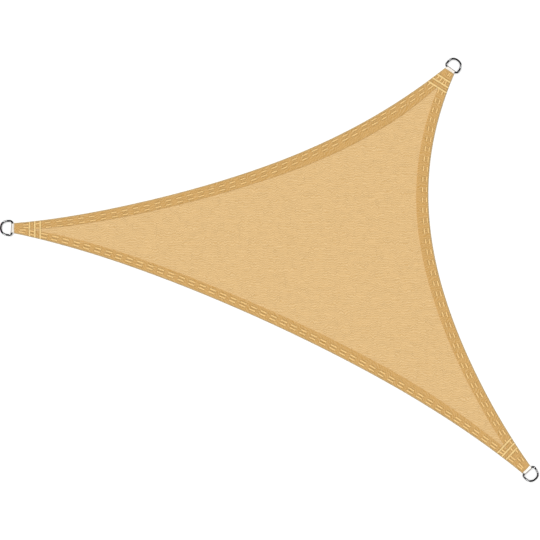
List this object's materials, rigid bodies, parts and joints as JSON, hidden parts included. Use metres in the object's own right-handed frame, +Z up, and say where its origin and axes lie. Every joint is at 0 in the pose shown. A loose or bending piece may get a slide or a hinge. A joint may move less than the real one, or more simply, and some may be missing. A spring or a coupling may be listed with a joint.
{
  "type": "triangular shade sail",
  "caption": "Three-sided hollow-cut shade sail of knitted cloth with stitched hems, laid flat, with a webbing loop and a welded D-ring at each tip.",
  "frame": {"origin": "on the surface that the sail lies on, under the middle of its bounding box", "axes": "+Z up, out of the face that shows the folded hems; +X along the longest extent, towards the lower right tip; +Y towards the top tip"},
  "size_m": [2.2831, 1.7971, 0.0096],
  "materials": {
    "shade_cloth": "matt sand-coloured knitted polyethylene shade cloth, darker where the hem doubles it",
    "webbing": "matt cream woven polyester webbing",
    "thread": "pale sand twisted sewing thread",
    "ring_steel": "polished welded steel wire"
  },
  "bodies": {
    "root": {"sail_cloth": "shade_cloth", "webbing_left": "webbing", "webbing_top": "webbing", "webbing_right": "webbing", "d_ring_left": "ring_steel", "d_ring_top": "ring_steel", "d_ring_right": "ring_steel"}
  },
  "joints": []
}
